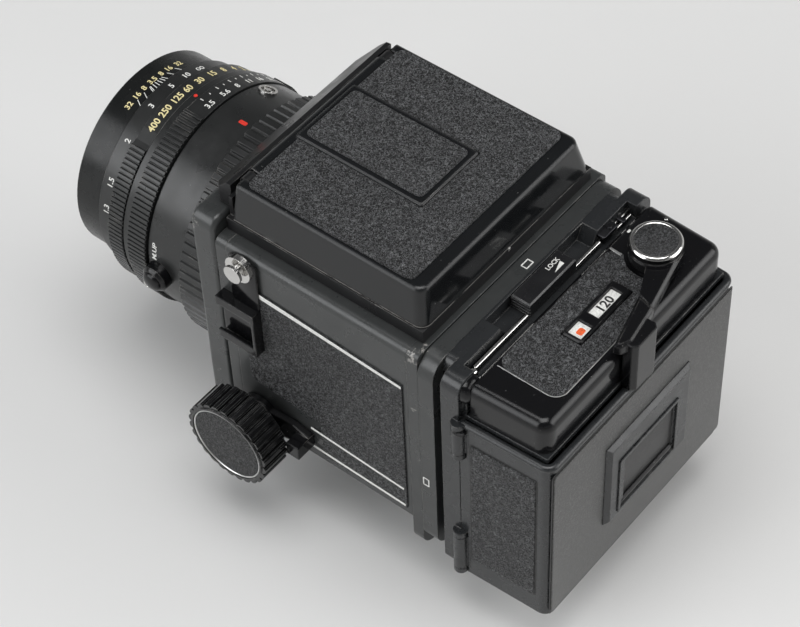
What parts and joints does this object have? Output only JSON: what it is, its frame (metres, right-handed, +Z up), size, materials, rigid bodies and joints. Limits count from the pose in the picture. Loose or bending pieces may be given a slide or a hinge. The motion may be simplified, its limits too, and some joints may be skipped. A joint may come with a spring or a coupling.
{
  "type": "medium format film camera",
  "caption": "Boxy single-lens reflex film camera with a large lens, bellows focusing, folding waist-level finder, side focusing knobs and a revolving film back with a winding lever.",
  "frame": {"origin": "mouth of the tripod socket, in the plane the camera stands on", "axes": "lens looks along -Y, +X is the viewer's left, +Z up"},
  "size_m": [0.145, 0.2272, 0.146],
  "materials": {
    "black_enamel": "satin black enamel",
    "black_leather": "grained",
    "lens_black": "satin black anodised",
    "cast_alloy": "black painted casting",
    "bright_chrome": "polished",
    "machined_steel": "machined",
    "lens_glass": "coated",
    "screen_glass": "ground",
    "mirror_silver": "front silvered",
    "bellows_cloth": "matt rubberised cloth",
    "black_plastic": "matt moulded",
    "blade_steel": "blackened"
  },
  "bodies": {
    "camera_body": {"mirror_box": "cast_alloy", "front_frame": "cast_alloy", "rear_flange": "cast_alloy", "base_casting": "cast_alloy", "side_leather_left": "black_leather", "side_leather_right": "black_leather", "strap_lugs": "bright_chrome", "accessory_shoe": "black_enamel", "focusing_screen": "screen_glass", "finder_base": "cast_alloy"},
    "focus_drive": {"focus_axle": "machined_steel", "focus_knob_left": "black_plastic", "focus_knob_right": "black_plastic"},
    "focus_lock": {"focus_lock_lever": "black_enamel"},
    "lens_carrier": {"front_standard": "cast_alloy", "focus_rack_left": "machined_steel", "focus_rack_right": "machined_steel", "bellows": "bellows_cloth", "lens_tube": "lens_black", "front_barrel": "lens_black", "index_band": "lens_black", "rear_barrel": "lens_black", "flash_socket": "bright_chrome", "mirror_up_socket": "lens_black", "front_glass": "lens_glass", "rear_glass": "lens_glass", "shutter_blades": "blade_steel"},
    "distance_scale": {"distance_ring": "lens_black"},
    "speed_selector": {"shutter_speed_ring": "lens_black"},
    "aperture_selector": {"aperture_ring": "lens_black"},
    "lens_lock": {"lens_lock_ring": "lens_black"},
    "reflex_mirror": {"mirror_frame": "black_enamel", "mirror_glass": "mirror_silver"},
    "light_baffle": {"light_flap": "black_enamel"},
    "lid": {"finder_lid": "black_enamel", "lid_leather": "black_leather"},
    "leaf_left": {"hood_leaf_left": "black_enamel"},
    "leaf_right": {"hood_leaf_right": "black_enamel"},
    "leaf_rear": {"hood_leaf_rear": "black_enamel"},
    "magnifier": {"magnifier_frame": "black_enamel", "magnifier_glass": "lens_glass"},
    "release_button": {"shutter_button": "bright_chrome"},
    "release_lock": {"release_lock_collar": "black_enamel"},
    "cocking_arm": {"cocking_lever": "black_enamel"},
    "multiple_exposure_arm": {"multiple_exposure_lever": "bright_chrome"},
    "revolving_back": {"revolving_adapter": "cast_alloy", "holder_case": "cast_alloy", "gear_housing": "cast_alloy", "top_leather": "black_leather", "film_insert": "black_enamel"},
    "top_lock": {"slide_lock_top": "black_plastic"},
    "bottom_lock": {"slide_lock_bottom": "black_plastic"},
    "dark_slide_sheet": {"dark_slide": "machined_steel"},
    "wind_lever": {"advance_lever": "black_enamel"},
    "film_pressure_plate": {"pressure_plate": "black_enamel"},
    "spool_supply": {"supply_spool": "black_plastic"},
    "spool_take_up": {"take_up_spool": "black_plastic"},
    "rear_door": {"back_cover": "black_enamel", "memo_holder": "black_plastic"},
    "door_latch": {"cover_latch": "black_enamel"}
  },
  "joints": [
    {"name": "focus_slide", "type": "slide", "parent": "camera_body", "child": "lens_carrier", "axis": [0, -1, 0], "range_m": [0, 0.046], "deforming": ["bellows"]},
    {"name": "focus_turn", "type": "hinge", "parent": "camera_body", "child": "focus_drive", "pos_m": [0, -0.0296, 0.0427], "axis": [1, 0, 0], "range_deg": [-480, 0]},
    {"name": "focus_lock_turn", "type": "hinge", "parent": "camera_body", "child": "focus_lock", "pos_m": [0, -0.0296, 0.0427], "axis": [-1, 0, 0], "range_deg": [0, 25]},
    {"name": "distance_turn", "type": "hinge", "parent": "lens_carrier", "child": "distance_scale", "pos_m": [0, -0.1, 0.0744], "axis": [0, -1, 0], "range_deg": [-21.5, 75.5]},
    {"name": "speed_turn", "type": "hinge", "parent": "lens_carrier", "child": "speed_selector", "pos_m": [0, -0.1, 0.0744], "axis": [0, -1, 0], "range_deg": [-66, 24]},
    {"name": "aperture_turn", "type": "hinge", "parent": "lens_carrier", "child": "aperture_selector", "pos_m": [0, -0.1, 0.0744], "axis": [0, -1, 0], "range_deg": [-53.5, 0]},
    {"name": "lens_lock_turn", "type": "hinge", "parent": "lens_carrier", "child": "lens_lock", "pos_m": [0, -0.1, 0.0744], "axis": [0, -1, 0], "range_deg": [0, 30]},
    {"name": "mirror_lift", "type": "hinge", "parent": "camera_body", "child": "reflex_mirror", "pos_m": [0, 0.0356, 0.113], "axis": [-1, 0, 0], "range_deg": [0, 45]},
    {"name": "baffle_lift", "type": "hinge", "parent": "camera_body", "child": "light_baffle", "pos_m": [0, 0.0372, 0.1086], "axis": [-1, 0, 0], "range_deg": [0, 90]},
    {"name": "lid_open", "type": "hinge", "parent": "camera_body", "child": "lid", "pos_m": [0, -0.0396, 0.1418], "axis": [1, 0, 0], "range_deg": [0, 90]},
    {"name": "leaf_left_open", "type": "hinge", "parent": "camera_body", "child": "leaf_left", "pos_m": [0.04, 0, 0.134], "axis": [0, 1, 0], "range_deg": [0, 90]},
    {"name": "leaf_right_open", "type": "hinge", "parent": "camera_body", "child": "leaf_right", "pos_m": [-0.04, 0, 0.134], "axis": [0, -1, 0], "range_deg": [0, 90]},
    {"name": "leaf_rear_open", "type": "hinge", "parent": "camera_body", "child": "leaf_rear", "pos_m": [0, 0.0364, 0.1316], "axis": [-1, 0, 0], "range_deg": [0, 90]},
    {"name": "magnifier_turn", "type": "hinge", "parent": "lid", "child": "magnifier", "pos_m": [0, 0.0064, 0.1386], "axis": [1, 0, 0], "range_deg": [-90, 0]},
    {"name": "shutter_press", "type": "slide", "parent": "camera_body", "child": "release_button", "axis": [0, 1, 0], "range_m": [0, 0.0025], "stiffness_N_per_m": 400, "springref_m": -0.0015},
    {"name": "release_lock_turn", "type": "hinge", "parent": "camera_body", "child": "release_lock", "pos_m": [-0.047, -0.051, 0.0205], "axis": [0, 1, 0], "range_deg": [0, 40]},
    {"name": "cocking_press", "type": "hinge", "parent": "camera_body", "child": "cocking_arm", "pos_m": [-0.055, 0.008, 0.062], "axis": [1, 0, 0], "range_deg": [0, 60], "stiffness_Nm_per_rad": 0.06, "springref_deg": -14.32},
    {"name": "multiple_exposure_turn", "type": "hinge", "parent": "camera_body", "child": "multiple_exposure_arm", "pos_m": [-0.055, 0.028, 0.056], "axis": [1, 0, 0], "range_deg": [0, 35]},
    {"name": "back_rotate", "type": "hinge", "parent": "camera_body", "child": "revolving_back", "pos_m": [0, 0.0435, 0.0744], "axis": [0, 1, 0], "range_deg": [0, 90]},
    {"name": "top_lock_slide", "type": "slide", "parent": "revolving_back", "child": "top_lock", "axis": [-1, 0, 0], "range_m": [0, 0.008]},
    {"name": "bottom_lock_slide", "type": "slide", "parent": "revolving_back", "child": "bottom_lock", "axis": [-1, 0, 0], "range_m": [0, 0.008]},
    {"name": "dark_slide_pull", "type": "slide", "parent": "revolving_back", "child": "dark_slide_sheet", "axis": [-1, 0, 0], "range_m": [0, 0.092]},
    {"name": "advance_turn", "type": "hinge", "parent": "revolving_back", "child": "wind_lever", "pos_m": [-0.0304, 0.0787, 0.124], "axis": [0, 0, 1], "range_deg": [0, 160], "stiffness_Nm_per_rad": 0.04, "springref_deg": -17.19},
    {"name": "pressure_float", "type": "slide", "parent": "revolving_back", "child": "film_pressure_plate", "axis": [0, 1, 0], "range_m": [0, 0.001], "stiffness_N_per_m": 600, "springref_m": -0.002},
    {"name": "supply_turn", "type": "hinge", "parent": "revolving_back", "child": "spool_supply", "pos_m": [0.0292, 0.0794, 0.0744], "axis": [0, 0, 1], "continuous": true},
    {"name": "take_up_turn", "type": "hinge", "parent": "revolving_back", "child": "spool_take_up", "pos_m": [-0.0292, 0.0794, 0.0744], "axis": [0, 0, 1], "range_deg": [0, 360]},
    {"name": "door_open", "type": "hinge", "parent": "revolving_back", "child": "rear_door", "pos_m": [0.0536, 0.061, 0.065], "axis": [0, 0, -1], "range_deg": [0, 100]},
    {"name": "door_latch_slide", "type": "slide", "parent": "revolving_back", "child": "door_latch", "axis": [0, 0, 1], "range_m": [0, 0.006]}
  ],
  "couplings": [
    {"joint": "focus_turn", "follows": "focus_slide", "rad_per_m": -181.82},
    {"joint": "baffle_lift", "follows": "mirror_lift", "ratio": 2},
    {"joint": "leaf_left_open", "follows": "lid_open", "ratio": 1},
    {"joint": "leaf_right_open", "follows": "lid_open", "ratio": 1},
    {"joint": "leaf_rear_open", "follows": "lid_open", "ratio": 1},
    {"joint": "magnifier_turn", "follows": "lid_open", "ratio": -1},
    {"joint": "take_up_turn", "follows": "advance_turn", "ratio": 1}
  ]
}
